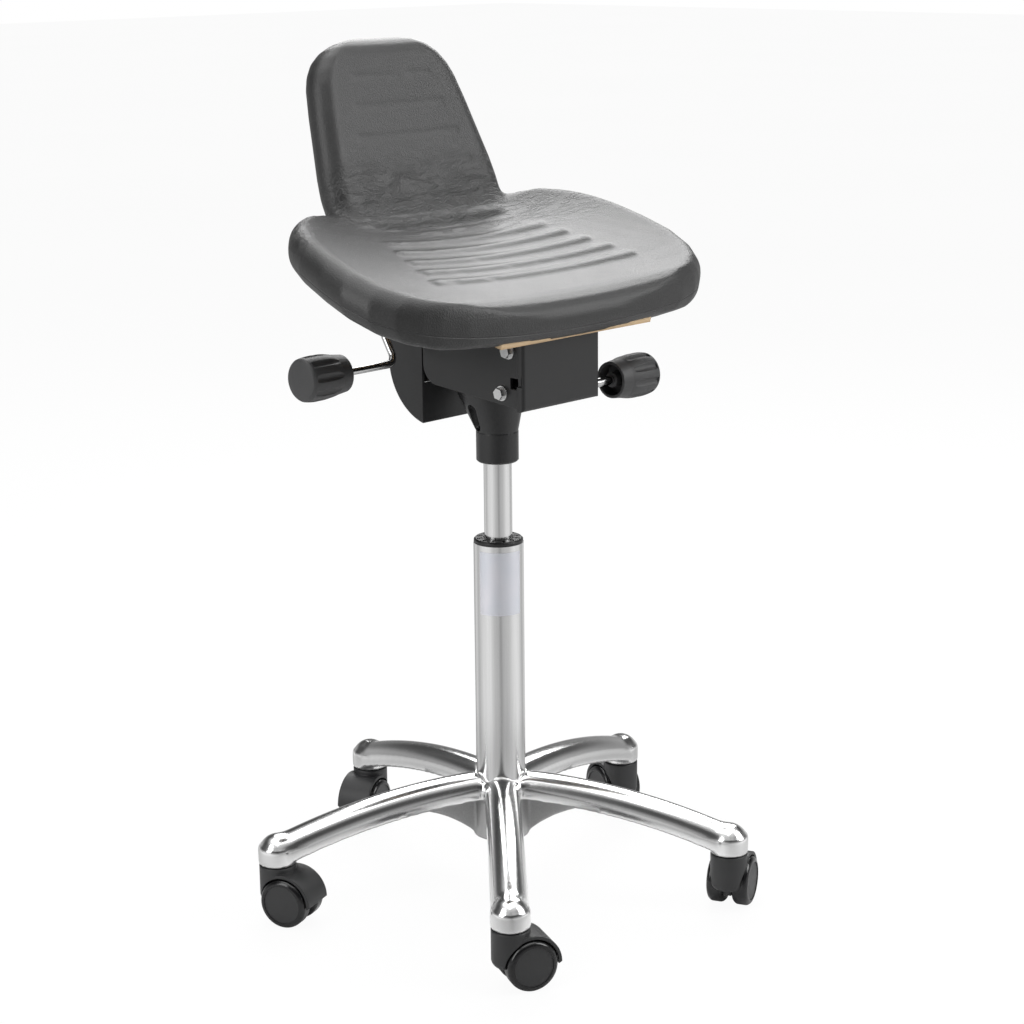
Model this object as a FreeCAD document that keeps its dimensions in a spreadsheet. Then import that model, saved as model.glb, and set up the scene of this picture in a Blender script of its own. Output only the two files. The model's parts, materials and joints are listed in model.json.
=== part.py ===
import FreeCAD, Part
import math
import os
import Sketcher
from FreeCAD import Vector

# Perch stool, in millimetres. The origin is on the floor under the column axis, +Z is up,
# the sitter faces -Y and the sitter's left hand is at +X.

SIZES = [
    # Five-leg base
    ("leg_count", 5),
    ("leg_bearing", -132.9),
    ("stem_circle_radius", 236.7),
    ("leg_width", 36),
    ("leg_depth", 26),
    ("leg_wall", 4.5),
    ("leg_arch_radius", 650),
    ("leg_crown_height", 126.2),
    ("leg_root_radius", 16),
    ("leg_hollow_end", 208),
    ("hub_radius", 29),
    ("hub_bottom", 57),
    ("hub_top", 118),
    ("gusset_thickness", 5),
    ("gusset_reach", 108),
    ("gusset_sweep_radius", 130),
    ("collar_diameter", 38.4),
    ("collar_height", 18),
    ("bulb_diameter", 36),
    ("bulb_height", 30.5),
    # Casters
    ("caster_height", 60),
    ("wheel_diameter", 50),
    ("wheel_width", 17),
    ("wheel_edge_radius", 5),
    ("wheel_disc_diameter", 39),
    ("web_thickness", 8),
    ("wheel_side_gap", 0.5),
    ("wheel_top_gap", 1.3),
    ("guard_wall", 3.2),
    ("guard_width", 36),
    ("web_bottom", 14),
    ("web_back", -4),
    ("web_front", 24),
    ("trail", 15),
    ("hood_diameter", 37),
    ("hood_bottom", 21),
    ("hood_edge_radius", 8),
    ("hood_gap", 0.6),
    ("stem_diameter", 11),
    ("stem_flange_diameter", 17),
    ("stem_depth", 24),
    ("stem_grip", 9.4),
    ("axle_diameter", 6),
    ("axle_end_gap", 2.5),
    ("trail_front", -23),
    ("trail_right_front", 24),
    ("trail_right_back", 74),
    ("trail_left_back", -159),
    ("trail_left_front", -70),
    ("running_clearance", 0.05),
    # Column
    ("tube_diameter", 50),
    ("tube_wall", 2),
    ("tube_bottom", 57.5),
    ("tube_top", 366.5),
    ("cap_lip", 4.5),
    ("cap_chamfer", 1.6),
    ("cap_depth", 8),
    ("cap_slot_count", 12),
    ("cap_slot_width", 2.6),
    ("cap_slot_depth", 2.5),
    ("guide_length", 70),
    ("floor_height", 61),
    ("floor_thickness", 4),
    ("rod_diameter", 10),
    ("rod_tail_diameter", 8),
    ("rod_groove", 1.2),
    ("clip_thickness", 1.5),
    ("clip_diameter", 17),
    ("bearing_height", 4),
    ("bearing_diameter", 26),
    ("buffer_height", 11),
    ("buffer_diameter", 30),
    ("piston_height", 300),
    ("piston_length", 12),
    ("gas_cylinder_diameter", 28),
    ("gas_cylinder_wall", 1.5),
    ("gas_cylinder_bottom", 150),
    ("gas_cylinder_top", 530),
    ("gas_cylinder_plug", 26),
    ("release_pin_diameter", 8),
    ("release_pin_length", 25),
    ("release_pin_height", 7),
    # Socket and tilt housing
    ("socket_bottom", 449),
    ("socket_neck_height", 30),
    ("socket_neck_diameter", 42),
    ("socket_flare_diameter", 74),
    ("socket_flare_height", 48),
    ("socket_flare_shift", 10),
    ("socket_slot_width", 11),
    ("socket_slot_height", 17),
    ("socket_slot_low", 486),
    ("socket_slot_shift", 6),
    ("housing_width", 102),
    ("housing_sheet", 3),
    ("housing_front", -84),
    ("housing_back", 50),
    ("housing_front_bottom", 519),
    ("housing_back_bottom", 529),
    ("housing_top", 585),
    ("housing_corner_radius", 20),
    ("floor_front_edge", -62),
    ("pivot_back", 39),
    ("pivot_height", 547),
    ("pivot_pin_diameter", 10),
    ("pivot_boss_diameter", 19),
    ("pivot_boss_length", 6),
    ("bush_wall", 2),
    ("arm_thickness", 6),
    ("arm_width", 26),
    ("arm_gap", 0.5),
    ("spring_wire", 3),
    ("spring_play", 0.3),
    ("spring_turns", 6),
    ("front_cover_wall", 2),
    ("front_cover_front", -88),
    ("front_cover_wrap", 8),
    ("front_cover_rim", 2),
    ("front_cover_notch", 6),
    ("rear_cover_radius", 62),
    ("rear_cover_width", 100),
    ("rear_cover_wall", 2.5),
    ("rear_cover_face", 53),
    ("rear_cover_top", 575),
    ("rear_cover_side_top", 527),
    ("bolt_flat_width", 10),
    ("bolt_head_height", 5),
    ("bolt_washer_diameter", 14.5),
    ("bolt_washer_thickness", 1.3),
    ("bolt_diameter", 6),
    ("bolt_length", 14),
    ("square_hole", 10.5),
    # Controls
    ("lever_rod_diameter", 7.4),
    ("lever_bend_radius", 11),
    ("lever_grip_start", -146),
    ("lever_grip_end", -196),
    ("lever_back", 62),
    ("lever_height", 549),
    ("lever_knee", -76),
    ("lever_rise_back", 84),
    ("lever_rise_height", 585),
    ("lever_saddle_side", -46),
    ("lever_saddle_back", 71),
    ("lever_inner_side", -26),
    ("lever_inner_back", 62),
    ("lever_tip_gap", 0.3),
    ("lever_clearance", 0.35),
    ("grip_diameter", 43.5),
    ("knob_start", 84),
    ("knob_length", 52),
    ("knob_bore", 31),
    ("knob_bore_depth", 13),
    ("knob_hub_diameter", 15),
    ("knob_back", -74),
    ("knob_height", 527),
    ("spindle_diameter", 9),
    ("flute_count", 9),
    ("flute_depth", 2.2),
    ("grip_dome", 1.8),
    ("flute_radius", 5),
    # Seat
    ("seat_slope", 13.6),
    ("back_lean", 21.6),
    ("seat_level", 654),
    ("seat_corner_back", 86.4),
    ("seat_bend_radius", 80),
    ("seat_back_reach", 196.5),
    ("seat_thickness", 40),
    ("seat_rim_thickness", 44),
    ("rim_width", 397.5),
    ("rim_middle_back", 20),
    ("rim_front", -100),
    ("rim_back", 94),
    ("rim_front_squareness", 3.47),
    ("rim_back_squareness", 3.06),
    ("rim_taper", 0.197),
    ("rim_level", 637.2),
    ("rim_slope", 19.4),
    ("rim_hollow_radius", 1509),
    ("rim_lift_start", -60),
    ("rim_lift_radius", 184),
    ("back_thickness", 36),
    ("back_hollow_radius", 4000),
    ("waist_width", 226),
    ("back_top_width", 186),
    ("plate_thickness", 3),
    ("plate_width", 180),
    ("plate_front", -110),
    ("plate_back", 20),
    ("core_thickness", 12),
    ("core_margin", 12),
    ("screw_head_diameter", 12),
    ("screw_diameter", 6),
    ("screw_head_height", 4),
    ("screw_length", 12),
    ("screw_inset", 16),
    ("rib_count", 12),
    ("rib_start", 146),
    ("seat_rib_pitch", 24.4),
    ("back_rib_pitch", 30.7),
    ("rib_widest", 143),
    ("rib_narrowest", 60),
    ("rib_rise", 2.6),
    ("rib_tube_radius", 11),
]

doc = FreeCAD.newDocument("perch_stool")
sheet = doc.addObject("Spreadsheet::Sheet", "Sizes")
for row, (alias, number) in enumerate(SIZES, start=1):
    sheet.set("A%d" % row, alias.replace("_", " "))
    sheet.set("B%d" % row, str(number))
    sheet.setAlias("B%d" % row, alias)
doc.recompute()


class Size:
    """A length, angle or count with the spreadsheet expression that gives it."""

    def __init__(self, value, text):
        self.value = float(value)
        self.text = text

    def _join(self, other, sign, value):
        return Size(value, "(%s %s %s)" % (self.text, sign, text_of(other)))

    def __add__(self, other):
        return self._join(other, "+", self.value + value_of(other))

    def __sub__(self, other):
        return self._join(other, "-", self.value - value_of(other))

    def __mul__(self, other):
        return self._join(other, "*", self.value * value_of(other))

    def __truediv__(self, other):
        return self._join(other, "/", self.value / value_of(other))

    def __radd__(self, other):
        return Size(other, repr(float(other))) + self

    def __rsub__(self, other):
        return Size(other, repr(float(other))) - self

    def __rmul__(self, other):
        return Size(other, repr(float(other))) * self

    def __rtruediv__(self, other):
        return Size(other, repr(float(other))) / self

    def __neg__(self):
        return Size(-self.value, "(0 - %s)" % self.text)

    def __float__(self):
        return self.value


def value_of(number):
    return float(number)


def text_of(number):
    return number.text if isinstance(number, Size) else repr(float(number))


def size(alias):
    """The sheet's value under this alias."""
    return Size(getattr(sheet, alias), "<<Sizes>>." + alias)


def root_of(number):
    """Square root of a size."""
    return Size(math.sqrt(number.value), "sqrt(%s)" % number.text)


def trig(name, angle):
    """Sine, cosine or tangent of a size in degrees."""
    value = getattr(math, name)(math.radians(angle.value))
    return Size(value, "%s(%s * 1deg)" % (name, angle.text))


def angle_of(sine):
    """The angle in degrees that has this sine."""
    return Size(math.degrees(math.asin(sine.value)), "asin(%s) / 1deg" % sine.text)


def tie(feature, property_name, number):
    """Sets a property, bound to the sheet where the number comes from it."""
    value = value_of(number)
    whole = isinstance(getattr(feature, property_name), int)
    setattr(feature, property_name, int(value) if whole else value)
    if isinstance(number, Size):
        feature.setExpression(property_name, number.text)


def new_body(label):
    body = doc.addObject("PartDesign::Body", label)
    body.Label = label
    return body


def plane_sketch(body, role, offset=None):
    """An empty sketch on one of the body's origin planes, moved along the plane's normal."""
    plane = [item for item in body.Origin.OriginFeatures if item.Role == role][0]
    sketch = body.newObject("Sketcher::SketchObject", body.Name + "_sketch")
    sketch.AttachmentSupport = [(plane, "")]
    sketch.MapMode = "FlatFace"
    if offset is not None:
        sketch.AttachmentOffset = FreeCAD.Placement(Vector(0, 0, value_of(offset)), FreeCAD.Rotation())
        if isinstance(offset, Size):
            sketch.setExpression("AttachmentOffset.Base.z", offset.text)
    return sketch


def constrain(sketch, kind, *arguments):
    """Adds a dimension and binds it to the sheet."""
    *places, number = arguments
    index = sketch.addConstraint(Sketcher.Constraint(kind, *places, value_of(number)))
    if isinstance(number, Size):
        sketch.setExpression("Constraints[%d]" % index, number.text)


def draw_outline(sketch, points, closed=True):
    """Draws lines and arcs from point to point. A third number in a point is the radius of the arc
    that leaves it, positive where the arc's centre lies left of the way to the next point."""
    first = sketch.GeometryCount
    count = len(points) if closed else len(points) - 1
    starts = []
    for index in range(count):
        start = points[index]
        end = points[(index + 1) % len(points)]
        a = Vector(value_of(start[0]), value_of(start[1]), 0)
        b = Vector(value_of(end[0]), value_of(end[1]), 0)
        starts.append(1)
        if len(start) == 2:
            sketch.addGeometry(Part.LineSegment(a, b), False)
            continue
        radius = value_of(start[2])
        chord = b - a
        left = Vector(-chord.y, chord.x, 0).normalize()
        side = 1 if radius > 0 else -1
        rise = math.sqrt(max(radius ** 2 - chord.Length ** 2 / 4, 0))
        centre = (a + b) * 0.5 + left * (side * rise)
        middle = centre - left * (side * abs(radius))
        ends = (a, b) if side > 0 else (b, a)
        sketch.addGeometry(Part.Arc(ends[0], middle, ends[1]), False)
        starts[-1] = 1 if side > 0 else 2
    for index in range(count):
        place = first + index
        start = points[index]
        constrain(sketch, "DistanceX", -1, 1, place, starts[index], start[0])
        constrain(sketch, "DistanceY", -1, 1, place, starts[index], start[1])
        if len(start) == 3:
            radius = start[2] if value_of(start[2]) > 0 else -start[2]
            constrain(sketch, "Radius", place, radius)
        if closed or index < count - 1:
            following = (index + 1) % count
            sketch.addConstraint(Sketcher.Constraint(
                "Coincident", place, 3 - starts[index], first + following, starts[following]))
        else:
            end = points[-1]
            constrain(sketch, "DistanceX", -1, 1, place, 3 - starts[index], end[0])
            constrain(sketch, "DistanceY", -1, 1, place, 3 - starts[index], end[1])
    return sketch


def draw_circle(sketch, across, up, radius):
    place = sketch.addGeometry(
        Part.Circle(Vector(value_of(across), value_of(up), 0), Vector(0, 0, 1), value_of(radius)), False)
    constrain(sketch, "DistanceX", -1, 1, place, 3, across)
    constrain(sketch, "DistanceY", -1, 1, place, 3, up)
    constrain(sketch, "Radius", place, radius)
    return sketch


def add_feature(body, kind, sketch):
    feature = body.newObject("PartDesign::" + kind, body.Name + "_" + kind.lower())
    feature.Profile = sketch
    return feature


def extrude(body, kind, sketch, length, symmetric=True, reverse=False):
    """A Pad or Pocket of the sketch."""
    feature = add_feature(body, kind, sketch)
    tie(feature, "Length", length)
    feature.Midplane = symmetric
    feature.Reversed = reverse
    return feature


def turn(body, kind, sketch, axis="V_Axis"):
    """A Revolution or Groove of the sketch about one of its own axes."""
    feature = add_feature(body, kind, sketch)
    feature.ReferenceAxis = (sketch, [axis])
    feature.Angle = 360
    return feature


def turn_about(body, kind, sketch, across, up):
    """A Revolution or Groove about a line drawn in the sketch between two places."""
    start = Vector(value_of(across[0]), value_of(up[0]), 0)
    end = Vector(value_of(across[1]), value_of(up[1]), 0)
    line = sketch.addGeometry(Part.LineSegment(start, end), True)
    for corner in (1, 2):
        constrain(sketch, "DistanceX", -1, 1, line, corner, across[corner - 1])
        constrain(sketch, "DistanceY", -1, 1, line, corner, up[corner - 1])
    feature = add_feature(body, kind, sketch)
    feature.ReferenceAxis = (sketch, ["Axis0"])
    feature.Angle = 360
    return feature


def turned_piece(label, points, axis="V_Axis", role="XZ_Plane"):
    """A piece revolved about the Z axis, or about the X axis with axis="H_Axis"."""
    body = new_body(label)
    turn(body, "Revolution", draw_outline(plane_sketch(body, role), points), axis)
    return body


def place(body, x=0, y=0, z=0, angle=0, axis=(0, 0, 1)):
    """Moves a piece into the stool's frame, turned by the angle about the axis."""
    body.Placement = FreeCAD.Placement(
        Vector(value_of(x), value_of(y), value_of(z)), FreeCAD.Rotation(Vector(*axis), value_of(angle)))
    for name, number in (("Base.x", x), ("Base.y", y), ("Base.z", z), ("Rotation.Angle", angle)):
        if isinstance(number, Size):
            body.setExpression("Placement." + name, number.text)


def shape_piece(label, shape):
    """A piece whose shape is made by script, because no sketched feature fits it."""
    piece = doc.addObject("Part::Feature", label)
    piece.Label = label
    piece.Shape = shape
    return piece


# Sizes that several pieces share
clearance = size("running_clearance")
tube_radius = size("tube_diameter") / 2
tube_bore = tube_radius - size("tube_wall")
gas_radius = size("gas_cylinder_diameter") / 2
caster_height = size("caster_height")
wheel_radius = size("wheel_diameter") / 2
stem_radius = size("stem_diameter") / 2
housing_half = size("housing_width") / 2
housing_inner_half = housing_half - size("housing_sheet")
pivot_back = size("pivot_back")
pivot_height = size("pivot_height")
floor_rise = (size("housing_back_bottom") - size("housing_front_bottom")) / (
    size("housing_back") - size("housing_front"))


def floor_line(back, lift=0.0):
    """Height of the housing's sloping floor at a place along the stool, raised by the lift."""
    return size("housing_front_bottom") + floor_rise * (back - size("housing_front")) + lift


def polar_pattern(body, originals, count, axis_role="Z_Axis"):
    """Repeats features round one of the body's axes and makes the pattern the body's tip."""
    axis = [item for item in body.Origin.OriginFeatures if item.Role == axis_role][0]
    pattern = body.newObject("PartDesign::PolarPattern", body.Name + "_pattern")
    pattern.Originals = originals
    pattern.Axis = (axis, [""])
    pattern.Angle = 360
    tie(pattern, "Occurrences", count)
    body.Tip = pattern
    return pattern


def leg_profile(sketch, width, top, bottom):
    """The leg's section: a half-round back on straight sides."""
    half = width / 2
    shoulder = top - half
    return draw_outline(sketch, [
        (-half, bottom), (half, bottom), (half, shoulder, half), (half * 0, top, half), (-half, shoulder)])


def leg_sweep(body, kind, end, width, top, bottom):
    """Sweeps the leg's section along its arched crown line, out to the reach named end."""
    arch = size("leg_arch_radius")
    root = size("leg_root_radius")
    section = leg_profile(plane_sketch(body, "YZ_Plane", root), width, top, bottom)
    feature = turn_about(body, kind, section, [0, 1], [size("leg_crown_height") - arch] * 2)
    tie(feature, "Angle", angle_of((end - root) / arch))
    return feature


def make_star_base():
    """Die-cast base: a hub, five arched hollow legs with gussets, and caster sockets at their ends."""
    body = new_body("star_base")
    hub_radius = size("hub_radius")
    hub_low = size("hub_bottom")
    hub_top = size("hub_top")
    reach = size("stem_circle_radius")
    crown = size("leg_crown_height")
    depth = size("leg_depth")
    wall = size("leg_wall")
    leg = leg_sweep(body, "Revolution", reach, size("leg_width"), crown, crown - depth)
    hollow = leg_sweep(body, "Groove", size("leg_hollow_end"), size("leg_width") - wall * 2, crown - wall,
                       crown - depth - 1)
    collar_radius = size("collar_diameter") / 2
    bulb_radius = size("bulb_diameter") / 2
    collar_top = caster_height + size("collar_height")
    bulb_top = caster_height + size("bulb_height")
    end_outline = draw_outline(plane_sketch(body, "XZ_Plane"), [
        (reach, caster_height), (reach + collar_radius, caster_height), (reach + collar_radius, collar_top),
        (reach + bulb_radius, collar_top, bulb_radius), (reach, bulb_top)])
    end = turn_about(body, "Revolution", end_outline, [reach, reach], [0, 1])
    web_top = crown - wall * 2
    web_reach = size("gusset_reach")
    web = extrude(body, "Pad", draw_outline(plane_sketch(body, "XZ_Plane"), [
        (tube_radius + 1, hub_low + 1, -size("gusset_sweep_radius")), (web_reach, crown - depth - wall),
        (web_reach, web_top), (tube_radius + 1, web_top)]), size("gusset_thickness"))
    polar_pattern(body, [leg, hollow, end, web], size("leg_count"))
    hub_edge = hub_radius - tube_radius - 1
    turn(body, "Revolution", draw_outline(plane_sketch(body, "XZ_Plane"), [
        (tube_radius - 5, hub_low), (hub_radius, hub_low), (hub_radius, hub_top, hub_edge),
        (hub_radius - hub_edge, hub_top + hub_edge), (tube_radius - 5, hub_top + hub_edge)]))
    tube_hole = draw_circle(plane_sketch(body, "XY_Plane"), 0, 0, tube_radius)
    extrude(body, "Pocket", tube_hole, crown + depth, symmetric=False, reverse=True)
    bores = plane_sketch(body, "XY_Plane")
    step = 360 / size("leg_count")
    for number in range(int(size("leg_count").value)):
        angle = step * number
        draw_circle(bores, reach * trig("cos", angle), reach * trig("sin", angle), stem_radius + clearance)
    extrude(body, "Pocket", bores, caster_height + size("stem_depth"), symmetric=False, reverse=True)
    place(body, angle=size("leg_bearing"))


def make_column():
    """Outer tube with its floor, guide sleeve, slotted cap, rod, bearing, buffer and clip."""
    bottom = size("tube_bottom")
    top = size("tube_top")
    cap_depth = size("cap_depth")
    bore = gas_radius + clearance
    turned_piece("column_tube", [
        (tube_bore, bottom), (tube_radius, bottom), (tube_radius, top), (tube_bore, top)])
    lip = size("cap_lip")
    chamfer = size("cap_chamfer")
    cap = turned_piece("column_cap", [
        (bore, top - cap_depth), (tube_bore, top - cap_depth), (tube_bore, top),
        (tube_radius - 0.4, top), (tube_radius - 0.4, top + lip - chamfer),
        (tube_radius - 0.4 - chamfer, top + lip), (bore + 1, top + lip), (bore, top + lip - 1)])
    slot = plane_sketch(cap, "XY_Plane", top + lip)
    slot_half = size("cap_slot_width") / 2
    slot_start = bore + 2.4
    slot_end = tube_radius - 3
    draw_outline(slot, [(slot_start, -slot_half), (slot_end, -slot_half), (slot_end, slot_half),
                        (slot_start, slot_half)])
    cut = extrude(cap, "Pocket", slot, size("cap_slot_depth"), symmetric=False)
    polar_pattern(cap, [cut], size("cap_slot_count"))
    guide_top = top - cap_depth
    turned_piece("column_guide", [
        (bore, guide_top - size("guide_length")), (tube_bore, guide_top - size("guide_length")),
        (tube_bore, guide_top), (bore, guide_top)])
    rod_radius = size("rod_diameter") / 2
    tail_radius = size("rod_tail_diameter") / 2
    floor_low = size("floor_height")
    floor_high = floor_low + size("floor_thickness")
    turned_piece("column_floor", [
        (tail_radius + clearance, floor_low), (tube_bore, floor_low), (tube_bore, floor_high),
        (tail_radius + clearance, floor_high)])
    bearing_top = floor_high + size("bearing_height")
    groove = size("rod_groove") / 2
    turned_piece("thrust_bearing", [
        (tail_radius, floor_high), (size("bearing_diameter") / 2, floor_high),
        (size("bearing_diameter") / 2, floor_high + groove * 2),
        (size("bearing_diameter") / 2 - 1, floor_high + groove * 2),
        (size("bearing_diameter") / 2 - 1, bearing_top - groove * 2),
        (size("bearing_diameter") / 2, bearing_top - groove * 2),
        (size("bearing_diameter") / 2, bearing_top), (tail_radius, bearing_top)])
    turned_piece("rubber_buffer", [
        (rod_radius, bearing_top), (size("buffer_diameter") / 2, bearing_top),
        (size("buffer_diameter") / 2 - 2, bearing_top + size("buffer_height")),
        (rod_radius, bearing_top + size("buffer_height"))])
    clip_top = floor_low
    clip_low = clip_top - size("clip_thickness")
    turned_piece("rod_clip", [
        (tail_radius - groove, clip_low), (size("clip_diameter") / 2, clip_low),
        (size("clip_diameter") / 2, clip_top), (tail_radius - groove, clip_top)])
    piston_radius = gas_radius - size("gas_cylinder_wall") - clearance
    piston_top = size("piston_height") + size("piston_length")
    turned_piece("piston_rod", [
        (rod_radius * 0, bottom), (tail_radius, bottom), (tail_radius, clip_low),
        (tail_radius - groove, clip_low), (tail_radius - groove, clip_top), (tail_radius, clip_top),
        (tail_radius, bearing_top), (rod_radius, bearing_top), (rod_radius, size("piston_height")),
        (piston_radius, size("piston_height")), (piston_radius, piston_top), (rod_radius * 0, piston_top)])


def make_gas_cylinder():
    """The chromed cylinder that slides over the rod, and the pin in its top that opens its valve."""
    low = size("gas_cylinder_bottom")
    high = size("gas_cylinder_top")
    plug = size("gas_cylinder_plug")
    inner = gas_radius - size("gas_cylinder_wall")
    rod_hole = size("rod_diameter") / 2 + clearance
    pin_radius = size("release_pin_diameter") / 2
    pin_hole = pin_radius + clearance
    turned_piece("gas_cylinder", [
        (rod_hole, low), (gas_radius - 1, low), (gas_radius, low + 1), (gas_radius, high - 2),
        (gas_radius - 2, high), (pin_hole, high), (pin_hole, high - plug), (inner, high - plug),
        (inner, low + plug / 2), (rod_hole, low + plug / 2)])
    pin_top = high + size("release_pin_height")
    turned_piece("release_pin", [
        (pin_radius * 0, pin_top - size("release_pin_length")), (pin_radius, pin_top - size("release_pin_length")),
        (pin_radius, pin_top - 1), (pin_radius - 1, pin_top), (pin_radius * 0, pin_top)])


def make_socket():
    """Tapered cup that holds the cylinder. It flares up and back to the housing's sloping floor."""
    body = new_body("socket_cone")
    low = size("socket_bottom")
    neck_top = low + size("socket_neck_height")
    neck_radius = size("socket_neck_diameter") / 2
    turn(body, "Revolution", draw_outline(plane_sketch(body, "XZ_Plane"), [
        (neck_radius * 0, low), (neck_radius - 1.5, low), (neck_radius, low + 1.5), (neck_radius, neck_top),
        (neck_radius * 0, neck_top)]))
    lower = draw_circle(plane_sketch(body, "XY_Plane", neck_top), 0, 0, neck_radius - 0.4)
    upper = draw_circle(plane_sketch(body, "XY_Plane", neck_top + size("socket_flare_height")),
                        0, size("socket_flare_shift"), size("socket_flare_diameter") / 2)
    flare = add_feature(body, "AdditiveLoft", lower)
    flare.Sections = [upper]
    margin = 80
    trim = draw_outline(plane_sketch(body, "YZ_Plane"), [
        (-margin, floor_line(-margin)), (margin, floor_line(margin)), (margin, floor_line(margin, margin)),
        (-margin, floor_line(-margin, margin))])
    extrude(body, "Pocket", trim, 2 * margin)
    bore = draw_circle(plane_sketch(body, "XY_Plane"), 0, 0, gas_radius)
    extrude(body, "Pocket", bore, size("housing_top"), symmetric=False, reverse=True)
    slot_half = size("socket_slot_width") / 2
    slot_low = size("socket_slot_low")
    slot_high = slot_low + size("socket_slot_height")
    shift = size("socket_slot_shift")
    slot = draw_outline(plane_sketch(body, "YZ_Plane"), [
        (shift - slot_half, slot_low, slot_half), (shift, slot_low - slot_half, slot_half),
        (shift + slot_half, slot_low), (shift + slot_half, slot_high, slot_half),
        (shift, slot_high + slot_half, slot_half), (shift - slot_half, slot_high)])
    extrude(body, "Pocket", slot, housing_half, symmetric=False, reverse=False)


def housing_outline(lift, inset):
    """Side outline of the housing, its floor raised by the lift and its back edge moved in."""
    front = size("housing_front")
    back = size("housing_back") - inset
    corner = size("housing_corner_radius") - inset
    top = size("housing_top")
    return [(front, floor_line(front, lift)), (back - corner, floor_line(back - corner, lift), corner),
            (back, floor_line(back - corner, lift) + corner), (back, top), (front, top)]


def make_housing():
    """Folded sheet box, open at the top and front, with bosses for the tilt pin."""
    body = new_body("mechanism_housing")
    sheet_gauge = size("housing_sheet")
    extrude(body, "Pad", draw_outline(plane_sketch(body, "YZ_Plane"), housing_outline(0, 0)),
            size("housing_width"))
    front = size("housing_front")
    back = size("housing_back")
    top = size("housing_top")
    inner = draw_outline(plane_sketch(body, "YZ_Plane"), [
        (front - 1, floor_line(front - 1, sheet_gauge)), (back + 1, floor_line(back + 1, sheet_gauge)),
        (back + 1, top + 1), (front - 1, top + 1)])
    extrude(body, "Pocket", inner, housing_inner_half * 2)
    floor_cut = draw_outline(plane_sketch(body, "XY_Plane"), [
        (-housing_inner_half, front - 1), (housing_inner_half, front - 1),
        (housing_inner_half, size("floor_front_edge")), (-housing_inner_half, size("floor_front_edge"))])
    extrude(body, "Pocket", floor_cut, pivot_height, symmetric=False, reverse=True)
    boss_radius = size("pivot_boss_diameter") / 2
    for side in (1, -1):
        start = housing_inner_half if side > 0 else -housing_inner_half
        boss = draw_circle(plane_sketch(body, "YZ_Plane", start), pivot_back, pivot_height, boss_radius)
        extrude(body, "Pad", boss, size("pivot_boss_length"), symmetric=False, reverse=side > 0)
    pin = draw_circle(plane_sketch(body, "YZ_Plane"), pivot_back, pivot_height, size("pivot_pin_diameter") / 2)
    extrude(body, "Pocket", pin, housing_inner_half * 2)
    cylinder_hole = draw_circle(plane_sketch(body, "XY_Plane"), 0, 0, gas_radius + 0.5)
    extrude(body, "Pocket", cylinder_hole, pivot_height, symmetric=False, reverse=True)
    side_holes = plane_sketch(body, "YZ_Plane")
    for across, up in bolt_places():
        draw_circle(side_holes, across, up, size("bolt_diameter") / 2)
    hole_half = size("square_hole") / 2
    hole_back = front + 9
    hole_height = size("housing_front_bottom") + 24
    draw_outline(side_holes, [
        (hole_back - hole_half, hole_height - hole_half), (hole_back + hole_half, hole_height - hole_half),
        (hole_back + hole_half, hole_height + hole_half), (hole_back - hole_half, hole_height + hole_half)])
    extrude(body, "Pocket", side_holes, size("housing_width") + 2)
    spindle_hole = draw_circle(plane_sketch(body, "YZ_Plane"), size("knob_back"), size("knob_height"),
                               size("spindle_diameter") / 2 + clearance)
    extrude(body, "Pocket", spindle_hole, size("housing_width"), symmetric=False, reverse=True)


def bolt_places():
    """Places of the two bolts on a side plate, along the stool and up."""
    front = size("housing_front")
    low = size("housing_front_bottom")
    return [(front + 16, low + 54), (front + 25.5, low + 13)]


def make_front_cover():
    """Moulded cap over the front of the housing, with a notch in each side."""
    body = new_body("front_cover")
    wall = size("front_cover_wall")
    rim = size("front_cover_rim")
    face = size("front_cover_front")
    edge = face + size("front_cover_wrap")
    low = size("housing_front_bottom") - rim
    high = size("housing_top") + wall
    half = housing_half + rim
    block = extrude(body, "Pad", draw_outline(plane_sketch(body, "XY_Plane", low), [
        (-half, face), (half, face), (half, edge), (-half, edge)]), high - low, symmetric=False)
    doc.recompute()
    corners = ["Edge%d" % (index + 1) for index, item in enumerate(block.Shape.Edges)
               if abs(item.BoundBox.YMax - value_of(face)) < 0.01 and item.BoundBox.YLength < 0.01]
    rounding = body.newObject("PartDesign::Fillet", "front_cover_rounding")
    rounding.Base = (block, corners)
    tie(rounding, "Radius", rim * 2)
    body.Tip = rounding
    inner = draw_outline(plane_sketch(body, "XY_Plane", low - 1), [
        (-housing_half, face + wall), (housing_half, face + wall), (housing_half, edge + 1),
        (-housing_half, edge + 1)])
    extrude(body, "Pocket", inner, high - low - wall + 1, symmetric=False, reverse=True)
    notch = size("front_cover_notch")
    middle = size("housing_front_bottom") + 27
    cut = draw_outline(plane_sketch(body, "YZ_Plane"), [
        (edge - notch, middle - notch * 0.8), (edge + 1, middle - notch * 0.8), (edge + 1, middle + notch * 0.8),
        (edge - notch, middle + notch * 0.8)])
    extrude(body, "Pocket", cut, half * 2 + 2)


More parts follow.
